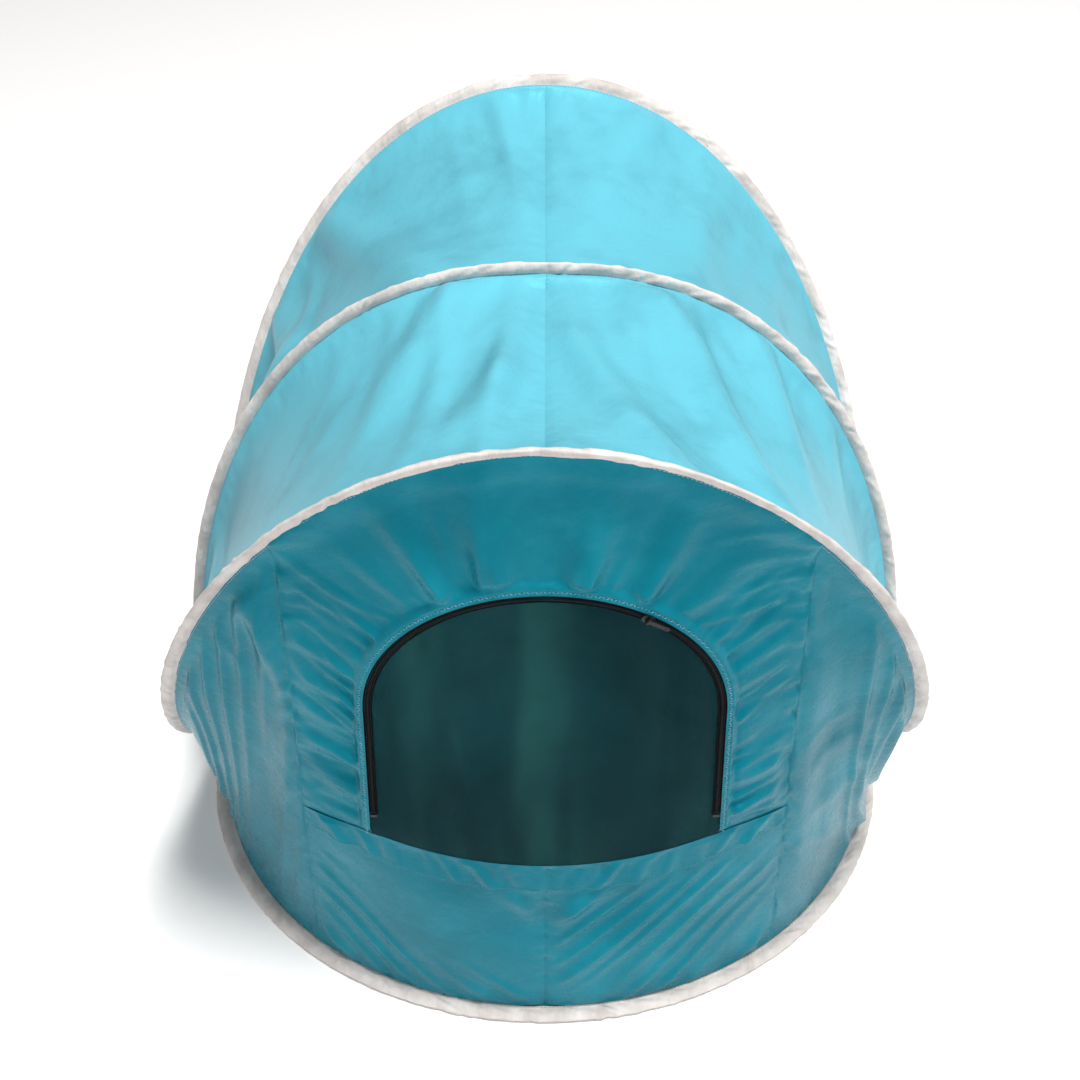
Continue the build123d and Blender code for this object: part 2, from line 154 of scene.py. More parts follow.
def outward_normals(points):
    """Unit normals of a grid of points, pointing away from the middle of the cabin."""
    normals = unit(np.cross(np.gradient(points, axis=0), np.gradient(points, axis=1)))
    away = points - np.array([0, 0, CABIN_MIDDLE])
    return normals * np.sign((normals * away).sum(-1, keepdims=True))


# --- the curves that carry the shape -------------------------------------------------------------
def even_angle(share):
    """Arch angle for a share of the way over an arch, evenly spaced near the low points."""
    share = np.asarray(share, float)
    near = math.pi / 2 * (2 * share) ** 2
    far = math.pi - math.pi / 2 * (2 - 2 * share) ** 2
    return np.where(share <= 0.5, near, far)


def share_of_angle(angle):
    """Inverse of even_angle."""
    angle = np.asarray(angle, float)
    near = 0.5 * np.sqrt(np.clip(angle, 0, None) / (math.pi / 2))
    far = 1 - 0.5 * np.sqrt(np.clip(math.pi - angle, 0, None) / (math.pi / 2))
    return np.where(angle <= math.pi / 2, near, far)


def shell_points(share, end):
    """The line of an end arch."""
    angle = even_angle(share)
    rise = SHELL_TOP - SHELL_LOW
    height = SHELL_LOW + rise * np.sin(angle)
    drop = np.clip((SHELL_TOP - height) / rise, 0, 1)
    reach = SHELL_REACH * np.clip(1 - drop**SADDLE_RISE, 0, 1) ** (1 / SADDLE_ROUND)
    return xyz(HALF_WIDTH * np.cos(angle), end * reach, height)


def middle_points(share):
    """The line of the middle arch."""
    angle = even_angle(share)
    height = SHELL_LOW + (MIDDLE_TOP - SHELL_LOW) * np.sin(angle)
    narrowing = np.clip(1 - (height / MIDDLE_TOP) ** MIDDLE_SQUARENESS, 0, 1)
    half = MIDDLE_HALF_WIDTH * narrowing ** (1 / MIDDLE_SQUARENESS)
    return xyz(np.sign(np.cos(angle)) * half, 0, height)


def tangents(curve, share, *args):
    """Unit directions of a curve."""
    step = 0.002
    ahead = curve(np.clip(share + step, 0, 1), *args)
    return unit(ahead - curve(np.clip(share - step, 0, 1), *args))


def shell_fins(share, end):
    """Directions of the end arch's fin: sideways at the low points, up and outward at the top."""
    angle = even_angle(share)
    lean = xyz(np.cos(angle), end * math.sqrt(0.5) * np.sin(angle), math.sqrt(0.5) * np.sin(angle))
    along = tangents(shell_points, share, end)
    return unit(lean - along * (lean * along).sum(-1, keepdims=True))


def middle_fins(share):
    """Directions of the middle arch's fin: outward in its plane."""
    along = tangents(middle_points, share)
    return xyz(along[..., 2], 0, -along[..., 0])


def sleeve_edge(share, end):
    """Where the straight lines of the end walls start, just inside an arch's binding."""
    return shell_points(share, end) - shell_fins(share, end) * (SLEEVE_WIDTH / 2 + EDGE_INSET)


def wall_angles(share):
    """Angles, along the arch and along the base ring, of the ends of an end wall's lines."""
    share = np.asarray(share, float)
    mirrored = np.where(share > 0.5, 1 - share, share)
    low = np.clip(mirrored / SEAM_SHARE, 0, 1)
    high = np.clip((mirrored - SEAM_SHARE) / (0.5 - SEAM_SHARE), 0, 1)
    top = SEAM_TOP_ANGLE * low**2 + (math.pi / 2 - SEAM_TOP_ANGLE) * high
    base = SEAM_BASE_ANGLE * low + (math.pi / 2 - SEAM_BASE_ANGLE) * high
    return np.where(share > 0.5, math.pi - top, top), np.where(share > 0.5, math.pi - base, base)


def wall_ends(share, end):
    """Top and bottom of the lines of an end wall."""
    top, base = wall_angles(share)
    bottom = xyz(BASE_HALF_WIDTH * np.cos(base), end * BASE_HALF_LENGTH * np.sin(base), 0)
    bottom = bottom * (1 - (BASE_SLEEVE_WIDTH / 2 - EDGE_INSET) / BASE_HALF_WIDTH)
    bottom[..., 2] = SLEEVE_THICKNESS
    return sleeve_edge(share_of_angle(top), end), bottom


def wall_points(share, height, end):
    """Points of an end wall at given heights."""
    top, bottom = wall_ends(share, end)
    drop = (top[..., 2] - height) / (top[..., 2] - bottom[..., 2])
    return top + (bottom - top) * drop[..., None]


def wall_at(x, height, end, lift=0.0):
    """Points of the middle of an end wall at given x and height, lifted outward."""
    x, height = np.broadcast_arrays(np.asarray(x, float), np.asarray(height, float))
    low, high = np.full(x.shape, SEAM_SHARE - 0.02), np.full(x.shape, 1.02 - SEAM_SHARE)
    for _ in range(HALVINGS):
        guess = (low + high) / 2
        right = wall_points(guess, height, end)[..., 0] > x
        low, high = np.where(right, guess, low), np.where(right, high, guess)
    points = wall_points((low + high) / 2, height, end)
    return points + np.array([0, end, 0]) * np.asarray(lift)[..., None]


def door_line(share, grow=0.0, foot=SILL_TOP):
    """x and z along the door's outline: up its left side, over its round top, down its right."""
    lean = (DOOR_FOOT_HALF_WIDTH - DOOR_RADIUS) / (DOOR_CENTRE_Z - SILL_TOP)
    radius = DOOR_RADIUS + grow
    side, top = DOOR_CENTRE_Z - foot, math.pi * radius
    run = np.asarray(share, float) * (2 * side + top)
    turn = np.clip((run - side) / radius, 0, math.pi)
    below = np.where(run < side, side - run, np.clip(run - side - top, 0, None))
    x = -np.cos(turn) * (radius + below * lean)
    return x, DOOR_CENTRE_Z + radius * np.sin(turn) - below


def hem_height(x):
    """Height of the door's lower hem, which sags a little to its middle."""
    return SILL_TOP + HEM_SAG * np.clip(np.abs(x) / DOOR_FOOT_HALF_WIDTH, 0, 1.1) ** 2


# --- materials ------------------------------------------------------------------------------------
def new_material(name):
    """An empty node material, its nodes, links and shader."""
    material = bpy.data.materials.new(name)
    material.use_nodes = True
    nodes, links = material.node_tree.nodes, material.node_tree.links
    return material, nodes, links, nodes["Principled BSDF"]


def pattern(nodes, links, kind, scale, squeeze=(1, 1, 1), **sockets):
    """A texture node in the model's own coordinates."""
    place = nodes.new("ShaderNodeTexCoord")
    mapping = nodes.new("ShaderNodeMapping")
    mapping.inputs["Scale"].default_value = squeeze
    texture = nodes.new(kind)
    texture.inputs["Scale"].default_value = scale
    for socket, value in sockets.items():
        texture.inputs[socket].default_value = value
    links.new(place.outputs["Object"], mapping.inputs["Vector"])
    links.new(mapping.outputs["Vector"], texture.inputs["Vector"])
    return texture


def colour_ramp(nodes, links, source, stops):
    """Colours picked by a texture's value."""
    node = nodes.new("ShaderNodeValToRGB")
    elements = node.color_ramp.elements
    for element, (position, colour) in zip(elements, (stops[0], stops[-1])):
        element.position = position
        element.color = (*colour, 1)
    for position, colour in stops[1:-1]:
        elements.new(position).color = (*colour, 1)
    links.new(source, node.inputs["Fac"])
    return node.outputs["Color"]


def value_ramp(nodes, links, source, low, high):
    """A texture's value spread between two numbers."""
    node = nodes.new("ShaderNodeMapRange")
    node.inputs["To Min"].default_value = low
    node.inputs["To Max"].default_value = high
    links.new(source, node.inputs["Value"])
    return node.outputs["Result"]


def bumps(nodes, links, shader, layers):
    """A chain of bump nodes, one for each texture, with a strength and a depth."""
    normal = None
    for source, strength, depth in layers:
        bump = nodes.new("ShaderNodeBump")
        bump.inputs["Strength"].default_value = strength
        bump.inputs["Distance"].default_value = depth
        links.new(source, bump.inputs["Height"])
        if normal:
            links.new(normal, bump.inputs["Normal"])
        normal = bump.outputs["Normal"]
    links.new(normal, shader.inputs["Normal"])


def mixed(colour, other, share):
    """A colour part of the way to another."""
    return tuple(a + (b - a) * share for a, b in zip(colour, other))


def taffeta(name, colour, roughness, through, shine):
    """Thin woven cloth: fine cross threads, faint slubs, crumple, and some light through it."""
    material, nodes, links, shader = new_material(name)
    cloudy = pattern(nodes, links, "ShaderNodeTexNoise", 9, Detail=5, Roughness=0.6)
    slubs = pattern(nodes, links, "ShaderNodeTexNoise", 420, (0.06, 0.06, 1), Detail=2)
    ends = pattern(nodes, links, "ShaderNodeTexNoise", 420, (1, 1, 0.05), Detail=2)
    crumple = pattern(nodes, links, "ShaderNodeTexNoise", 70, Detail=6, Roughness=0.62)
    dark, light = mixed(colour, (0, 0.01, 0.03), 0.18), mixed(colour, (0.1, 0.8, 1), 0.09)
    stops = [(0.3, dark), (0.5, colour), (0.72, light)]
    links.new(colour_ramp(nodes, links, cloudy.outputs["Fac"], stops), shader.inputs["Base Color"])
    gloss = value_ramp(nodes, links, crumple.outputs["Fac"], roughness - 0.05, roughness + 0.07)
    links.new(gloss, shader.inputs["Roughness"])
    shader.inputs["Specular IOR Level"].default_value = shine
    shader.inputs["IOR"].default_value = 1.33
    shader.inputs["Specular Tint"].default_value = (*mixed(colour, (0.2, 1, 1), 0.4), 1)
    threads = (slubs.outputs["Fac"], 0.10, 0.0006), (ends.outputs["Fac"], 0.10, 0.0006)
    bumps(nodes, links, shader, [(crumple.outputs["Fac"], 0.28, 0.004), *threads])
    lit = nodes.new("ShaderNodeBsdfTranslucent")
    lit.inputs["Color"].default_value = (*mixed(colour, (0.05, 0.8, 1), 0.20), 1)
    blend = nodes.new("ShaderNodeMixShader")
    blend.inputs["Fac"].default_value = through
    links.new(shader.outputs["BSDF"], blend.inputs[1])
    links.new(lit.outputs["BSDF"], blend.inputs[2])
    links.new(blend.outputs["Shader"], nodes["Material Output"].inputs["Surface"])
    return material


def binding_cloth(name, colour):
    """Matt off-white binding: ruched streaks, a fine weave and faint soiling."""
    material, nodes, links, shader = new_material(name)
    soil = pattern(nodes, links, "ShaderNodeTexNoise", 34, (1, 0.6, 0.6), Detail=5)
    ruche = pattern(nodes, links, "ShaderNodeTexNoise", 150, (1, 0.5, 0.5), Detail=4)
    weave = pattern(nodes, links, "ShaderNodeTexNoise", 1400, Detail=2)
    soiled, clean = mixed(colour, (0.35, 0.31, 0.30), 0.5), mixed(colour, (1, 1, 1), 0.22)
    stops = [(0.30, soiled), (0.5, colour), (0.70, clean)]
    links.new(colour_ramp(nodes, links, soil.outputs["Fac"], stops), shader.inputs["Base Color"])
    links.new(value_ramp(nodes, links, ruche.outputs["Fac"], 0.62, 0.86), shader.inputs["Roughness"])
    shader.inputs["Sheen Weight"].default_value = 0.2
    bumps(nodes, links, shader, [(ruche.outputs["Fac"], 0.45, 0.004), (weave.outputs["Fac"], 0.25, 0.0004)])
    return material


def netting(name, colour):
    """Fine dark net that lets part of the light through, with painted highlights and painted shade in
    upright streaks where its folds catch light.
    """
    material, nodes, links, shader = new_material(name)
    painted_fold_streaks = pattern(nodes, links, "ShaderNodeTexNoise", 16, (1, 1, 0.16), Detail=3, Roughness=0.5)
    holes = pattern(nodes, links, "ShaderNodeTexVoronoi", 900)
    # Upright streaks of painted shade and painted highlight stand for light on the net's folds; the same
    # streaks also vary how much light passes through the net.
    shaded, lit = mixed(colour, (0, 0, 0), 0.5), mixed(colour, (0.1, 0.5, 0.42), 0.11)
    stops = [(0.32, shaded), (0.5, colour), (0.70, lit)]
    links.new(colour_ramp(nodes, links, painted_fold_streaks.outputs["Fac"], stops), shader.inputs["Base Color"])
    links.new(value_ramp(nodes, links, painted_fold_streaks.outputs["Fac"], 0.42, 0.52), shader.inputs["Alpha"])
    links.new(value_ramp(nodes, links, holes.outputs["Distance"], 0.7, 0.95), shader.inputs["Roughness"])
    shader.inputs["Specular IOR Level"].default_value = 0.15
    bumps(nodes, links, shader, [(holes.outputs["Distance"], 0.3, 0.0006)])
    return material


def plain(
    name,
    colour,
    roughness,
    metallic,
    scale,
    depth,
    streak=(1, 1, 1),
    wear_share=0.15,
    dirt_share=0.3,
    shine=0.5,
):
    """Moulded, woven or metal trim: mottled colour, uneven gloss and a fine relief."""
    material, nodes, links, shader = new_material(name)
    grain = pattern(nodes, links, "ShaderNodeTexNoise", scale, streak, Detail=4)
    wear = pattern(nodes, links, "ShaderNodeTexNoise", 60, Detail=5)
    dirty, worn = mixed(colour, (0, 0, 0), dirt_share), mixed(colour, (0.8, 0.8, 0.8), wear_share)
    stops = [(0.3, dirty), (0.55, colour), (0.85, worn)]
    links.new(colour_ramp(nodes, links, wear.outputs["Fac"], stops), shader.inputs["Base Color"])
    gloss = value_ramp(nodes, links, grain.outputs["Fac"], roughness - 0.08, roughness + 0.12)
    links.new(gloss, shader.inputs["Roughness"])
    shader.inputs["Metallic"].default_value = metallic
    shader.inputs["Specular IOR Level"].default_value = shine
    bumps(nodes, links, shader, [(grain.outputs["Fac"], 0.3, depth)])
    return material


# Roof and end walls are one cloth in two copies: the roof's colour is painted lighter, as lit from above,
# and the walls' colour is painted darker, as painted shade where they face away from the light.
ROOF_LIT = taffeta("roof_taffeta_painted_light", (0.130, 0.480, 0.600), roughness=0.34, through=0.14, shine=0.55)
WALL_SHADED = taffeta("wall_taffeta_painted_shade", (0.004, 0.190, 0.262), roughness=0.27, through=0.12, shine=0.50)
FLOOR = taffeta("floor_taffeta", (0.045, 0.420, 0.430), roughness=0.40, through=0.05, shine=0.5)
BINDING = binding_cloth("ruched_binding", (0.57, 0.525, 0.50))
PAPER = plain("studio_paper", (0.93, 0.93, 0.93), 0.9, 0, 300, 0.00005, wear_share=0.0, dirt_share=0.01)
NET = netting("door_net", (0.009, 0.020, 0.019))
TAPE = plain("zip_tape_weave", (0.004, 0.003, 0.003), 0.80, 0, 1300, 0.0003, wear_share=0.003, shine=0.05)
COIL = plain("zip_coil_nylon", (0.004, 0.003, 0.003), 0.45, 0, 700, 0.0001, wear_share=0.003, shine=0.1)
METAL = plain("zip_enamel", (0.015, 0.012, 0.012), 0.35, 0.4, 900, 0.0001, wear_share=0.04)
STEEL = plain("spring_steel_brushed", (0.42, 0.42, 0.43), 0.32, 1, 900, 0.0001, (0.05, 1, 1))
CRIMP = plain("ferrule_steel", (0.50, 0.50, 0.50), 0.36, 1, 700, 0.0001)
THREAD = plain("thread_blue", (0.035, 0.230, 0.300), 0.6, 0, 1500, 0.0001)
PALE_THREAD = plain("thread_pale", (0.20, 0.46, 0.54), 0.6, 0, 1500, 0.0001)
WHITE_THREAD = plain("thread_white", (0.60, 0.55, 0.51), 0.6, 0, 1500, 0.0001)


# --- meshes -----------------------------------------------------------------------------------------
def new_piece(name, vertices, faces, material, body, replaced=()):
    """A smooth mesh that rides on a body and may stand for CAD nodes."""
    mesh = bpy.data.meshes.new(name)
    mesh.from_pydata(vertices.reshape(-1, 3).tolist(), [], faces)
    mesh.materials.append(material)
    mesh.shade_smooth()
    piece = bpy.data.objects.new(name, mesh)
    bpy.context.scene.collection.objects.link(piece)
    if isinstance(body, str):
        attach(piece, body)
    else:
        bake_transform(piece)
    if replaced:
        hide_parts(*replaced)
    return piece


def grid_faces(rows, columns, closed=False):
    """Quads of a grid of points; closed joins its last column to its first."""
    index = np.arange(rows * columns).reshape(rows, columns)
    if closed:
        index = np.concatenate([index, index[:, :1]], axis=1)
    quads = np.stack([index[:-1, :-1], index[1:, :-1], index[1:, 1:], index[:-1, 1:]], axis=-1)
    return quads.reshape(-1, 4).tolist()


def cloth(name, points, material, body, replaced):
    """A panel of cloth from a grid of points."""
    faces = grid_faces(*points.shape[:2])
    piece = new_piece(name, points, faces, material, body, replaced)


def tape(label, points, sleeve):
    """A binding tape folded over a strip."""
    faces = grid_faces(*points.shape[:2])
    piece = new_piece(label, points, faces, BINDING, "shell", [sleeve])


def stitches(name, line, material, length=0.003, gap=0.002, radius=0.00028, side=None):
    """A row of thread stitches along a line, each a small bead, leaning to side if there is one."""
    run = arc_length(line)
    starts = np.arange(0, run[-1] - length, length + gap)
    vertices, faces = [], []
    sides, profile = 6, ((-0.5, 0.25), (-0.3, 1), (0.3, 1), (0.5, 0.25))
    ring = np.arange(sides) * 2 * math.pi / sides
    for count, start in enumerate(starts):
        middle = start + length / 2
        centre = np.array([np.interp(middle, run, line[:, k]) for k in range(3)])
        ahead = np.array([np.interp(middle + length, run, line[:, k]) for k in range(3)])
        along = unit(ahead - centre)
        if side is not None:
            lean = np.array([np.interp(middle, run, side[:, k]) for k in range(3)])
            along = unit(along * 0.9 + lean * (1 if count % 2 else -1))
        across = unit(np.cross(along, [0.3, 0.2, 0.9]))
        up = np.cross(along, across)
        first = len(vertices)
        for place, width in profile:
            ring_centre = centre + along * length * place
            for turn in ring:
                offset = (across * math.cos(turn) + up * math.sin(turn)) * radius * width
                vertices.append(ring_centre + offset)
        last = first + (len(profile) - 1) * sides
        for row in range(first, last, sides):
            for k in range(sides):
                a, b = row + k, row + (k + 1) % sides
                faces.append([a, b, b + sides, a + sides])
        faces.append([first + k for k in range(sides - 1, -1, -1)])
        faces.append([last + k for k in range(sides)])
    new_piece(name, np.array(vertices), faces, material, "shell")


# --- bindings ----------------------------------------------------------------------------------------
def binding_points(centre, fin, along, width, thickness, seed, low=None):
    """A tape folded over a strip: full round the strip, thin at the stitched edge, ruched askew."""
    turn = np.linspace(math.radians(172), math.radians(-172), 26)
    across, depth = np.cos(turn), np.sin(turn)
    full = 0.30 + 0.70 * ramp(across, -0.9, 0.25)
    u = (arc_length(centre)[:, None]) * np.ones_like(across)
    v = across * width / 2 + 0.02 * (depth > 0)
    strength = 0.5 + 0.5 * ramp(noise(u / 0.16, v * 0, seed), -0.5, 0.6)
    skew = u / 0.011 + v / 0.0065 + 1.2 * noise(u / 0.04, v / 0.02, seed + 1)
    wrinkle = noise(skew, u / 0.05, seed + 2) * 0.0021 * strength
    wrinkle += noise(u / 0.0055, v / 0.006, seed + 3) * 0.0003
    lump = noise(u / 0.09, v * 0, seed + 4) * 0.0005
    out = (width / 2 - 0.0006 + wrinkle * 0.6 + lump * 0.5) * across
    rise = (thickness / 2 - 0.0006 + wrinkle + lump) * depth * full
    normal = np.cross(along, fin)
    points = centre[:, None] + fin[:, None] * out[..., None] + normal[:, None] * rise[..., None]
    if low is not None:
        points[..., 2] = np.maximum(points[..., 2], low)
    return points


def make_arch_bindings():
    """Bindings of the three arches, and the stitching along their inner edges."""
    share = np.linspace(0.003, 0.997, 1500)
    foot = share_of_angle(0.018)
    middle_share = np.linspace(foot, 1 - foot, 1400)
    arches = {}
    for label, end in ENDS.items():
        along = tangents(shell_points, share, end)
        arches[f"{label}_arch"] = (shell_points(share, end), shell_fins(share, end), along)
    along = tangents(middle_points, middle_share)
    arches["middle_arch"] = (middle_points(middle_share), middle_fins(middle_share), along)
    for count, (label, (centre, fin, along)) in enumerate(arches.items()):
        points = binding_points(centre, fin, along, SLEEVE_WIDTH, SLEEVE_THICKNESS, 40 + 10 * count)
        tape(f"{label}_binding", points, f"{label}_sleeve")
        normal = np.cross(along, fin)
        for side, sign in (("near", 1), ("far", -1)):
            line = centre - fin * 0.0072 + normal * sign * 0.0026
            name = f"{label}_stitching_{side}"
            stitches(name, line, WHITE_THREAD, length=0.0032, gap=0.0016, radius=0.00030)


def make_base_bindings():
    """Binding round the base ring, in two halves as in the CAD model."""
    for label, end in ENDS.items():
        angle = np.linspace(0.0, math.pi, 1300)
        centre = xyz(BASE_HALF_WIDTH * np.cos(angle), end * BASE_HALF_LENGTH * np.sin(angle), 0)
        centre[:, 2] = SLEEVE_THICKNESS / 2
        along = unit(np.gradient(centre, axis=0))
        fin = unit(centre * np.array([1 / BASE_HALF_WIDTH**2, 1 / BASE_HALF_LENGTH**2, 0]))
        seed = 80 if end < 0 else 90
        points = binding_points(centre, fin, along, BASE_SLEEVE_WIDTH, SLEEVE_THICKNESS, seed, 0.0002)
        tape(f"base_binding_{label}", points, f"base_sleeve_{label}")
        line = centre - fin * 0.0090 + xyz(0, 0, 0.0026)
        name = f"base_stitching_{label}"
        stitches(name, line, WHITE_THREAD, length=0.0034, gap=0.0018, radius=0.00032)


def make_pockets():
    """A stitched pouch at each low point, where a foot of the middle arch stands."""
    rows, columns = 40, 64
    for label in SIDES:
        low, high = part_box(f"arch_pocket_{label}")
        centre, half = (low + high) / 2, (high - low) / 2
        turn = np.linspace(0, 2 * math.pi, columns, endpoint=False)
        height = np.linspace(0, 1, rows)[:, None]
        squeeze = 1 - 0.16 * height + 0.03 * noise(turn * 2, height * 4, 7)
        closing = np.sqrt(np.clip(1 - (1 - np.clip(height / 0.12, 0, 1)) ** 2, 0, 1))
        x = np.sign(np.cos(turn)) * np.abs(np.cos(turn)) ** 0.55 * half.x * squeeze * closing
        y = np.sign(np.sin(turn)) * np.abs(np.sin(turn)) ** 0.7 * half.y * squeeze * closing
        crimp = 0.0006 * noise(height * 14, turn * 3 + height * 5, 8)
        points = xyz(centre.x + x + crimp, centre.y + y + crimp, low.z + height * 2 * half.z)
        faces = grid_faces(rows, columns, closed=True)
        name = f"arch_pocket_cloth_{label}"
        piece = new_piece(name, points, faces, BINDING, "shell", [f"arch_pocket_{label}"])


# --- the skin -------------------------------------------------------------------------------------------
def roof_points(end, side, seed):
    """Half a bay: it drops off the arches' fins, sags between them, and carries broad folds."""
    rows, columns = 260, 130
    share = np.linspace(0.055, 0.5, rows)
    across = np.linspace(0, 1, columns)[None, :]
    across = across - 0.07 * np.sin(2 * math.pi * across)
    inner = middle_points(share) - middle_fins(share) * TUCK
    inner = inner + xyz(0, end * 0.0012, 0)
    outer = shell_points(share, end) - shell_fins(share, end) * TUCK
    base = inner[:, None] * (1 - across[..., None]) + outer[:, None] * across[..., None]
    base[..., 0] = np.maximum(base[..., 0], 0)
    span = np.linalg.norm(outer - inner, axis=-1)[:, None]
    u = arc_length(middle_points(share))[:, None] * np.ones_like(across)
    u = u[-1:] - u
    v = across * span
    far = span - v
    normals = outward_normals(base)
    width = ramp(span, 0.05, 0.25)
    clear = ramp(v, 0.004, 0.02) * ramp(far, 0.004, 0.02)
    near_drop = 1 - np.exp(-np.clip(v - 0.006, 0, None) / 0.012)
    far_drop = 1 - np.exp(-np.clip(far - 0.006, 0, None) / 0.014)
    drop = near_drop * far_drop
    sag = -0.009 * drop * width - 0.022 * np.sin(math.pi * across) * width
    free = drop * width * ramp(u, 0, 0.07)
    broad = folds(v, u, angle=0.45, pitch=0.150, stretch=3.0, height=0.018, seed=seed)
    broad = broad + folds(v, u, angle=0.15, pitch=0.100, stretch=4.0, height=0.009, seed=seed + 3)
    drift = noise(u / 0.22, v / 0.16, seed + 5) * 0.0060
    crisp = folds(v, u, angle=0.7, pitch=0.050, stretch=3.0, height=0.0012, seed=seed + 7)
    seam = -0.0016 * np.exp(-((u / 0.003) ** 2)) - 0.0030 * np.exp(-u / 0.03)
    seam = seam + pucker(u, v, pitch=0.011, reach=0.016, height=0.0016, seed=seed + 9) * ramp(u, 0, 0.003)
    edge = pucker(v, u, pitch=0.012, reach=0.020, height=0.0024, seed=seed + 11)
    edge = edge + pucker(far, u, pitch=0.012, reach=0.020, height=0.0024, seed=seed + 12)
    height = sag + (broad + drift + crisp) * free + (seam + edge * ramp(u, 0, 0.006)) * clear
    points = base + normals * height[..., None]
    points[..., 0] = np.maximum(points[..., 0], 0)
    points[-1, :, 0] = 0
    points[..., 0] *= side
    return points


def make_roof():
    """Four roof panels with a seam along the ridge of each bay."""
    for end_label, end in ENDS.items():
        for side_label, side in SIDES.items():
            seed = 100 + 20 * (end > 0) + 40 * (side > 0)
            points = roof_points(end, side, seed)
            name, node = f"{end_label}_roof_cloth_{side_label}", f"{end_label}_roof_{side_label}"
            cloth(name, points, ROOF_LIT, "shell", [node])
        ridge = points[-1, 2:-2] + xyz(0.0022, 0, 0.0004)
        stitches(f"{end_label}_ridge_stitching", ridge, THREAD)


def seam_groove(distance, along, seed):
    """A sewn seam: a narrow valley with small puckers each side."""
    valley = -0.0016 * np.exp(-((distance / 0.0022) ** 2))
    return valley + pucker(distance, along, pitch=0.0095, reach=0.010, height=0.0013, seed=seed)


def tucked_top(share, end):
    """Top edge of the end wall, tucked between the binding's two layers."""
    place = share_of_angle(wall_angles(share)[0])
    return shell_points(place, end) - shell_fins(place, end) * TUCK


def gusset_points(end, side, seed):
    """Side of an end wall: broad soft folds, pulled in between the arch and the base ring."""
    share = np.linspace(0.0, SEAM_SHARE, 150)
    if side < 0:
        share = 1 - share
    drop = np.linspace(0, 1, 240)[None, :]
    top, bottom = wall_ends(share, end)
    tuck = (tucked_top(share, end) - top)[:, None] * (1 - ramp(drop, 0, 0.04))[..., None]
    base = top[:, None] + (bottom - top)[:, None] * drop[..., None] + tuck
    normals = outward_normals(base)
    run = np.linalg.norm(bottom - top, axis=-1)[:, None]
    v = drop * run
    u = arc_length(base)
    seam = np.max(u, axis=0, keepdims=True) - u
    waist = -0.016 * np.sin(math.pi * drop) * ramp(u, 0, 0.12) * ramp(run, 0.1, 0.4) * ramp(seam, 0, 0.10)
    broad = folds(v, seam, angle=-0.35, pitch=0.095, stretch=5.0, height=0.010, seed=seed)
    broad += folds(v, seam, angle=0.25, pitch=0.070, stretch=5.0, height=0.006, seed=seed + 2)
    broad += noise(u / 0.12, v / 0.25, seed + 3) * 0.0050
    fine = folds(v, seam, angle=-0.6, pitch=0.035, stretch=4.0, height=0.0024, seed=seed + 5)
    free = ramp(v, 0.01, 0.05) * ramp(run - v, 0, 0.04) * ramp(seam, 0, 0.04) * ramp(u, 0, 0.05)
    tight = ramp(v, 0.006, 0.02) * ramp(run - v, 0, 0.008)
    edge = pucker(v, u, pitch=0.011, reach=0.018, height=0.0020, seed=seed + 7)
    edge += pucker(run - v, u, pitch=0.012, reach=0.022, height=0.0022, seed=seed + 8)
    drawn = wrinkles(v, seam, pitch=0.030, length=0.07, height=0.0022, seed=seed + 9)
    stitched = seam_groove(seam, v, 900 + end) + drawn * np.exp(-seam / 0.03)
    height = waist + (broad + fine) * free + (edge + stitched) * tight * ramp(seam, 0, 0.003)
    return base + normals * height[..., None]


def crown_rim(count, end):
    """x, y and z of the crown's outer edge: up one seam, over the arch, down the other."""
    side, top = count // 4, count - 2 * (count // 4)
    over = np.linspace(1 - SEAM_SHARE, SEAM_SHARE, top)
    arch = tucked_top(over, end)
    high, low = (line[0] for line in wall_ends(over[:1], end))
    foot_drop = (high[2] - hem_height(-1.0)) / (high[2] - low[2])
    drop = np.linspace(foot_drop, 0, side, endpoint=False)[:, None]
    left = high + (low - high) * drop + (arch[0] - high) * (1 - ramp(drop, 0, 0.04))
    return np.concatenate([left, arch, left[::-1] * np.array([-1, 1, 1])])


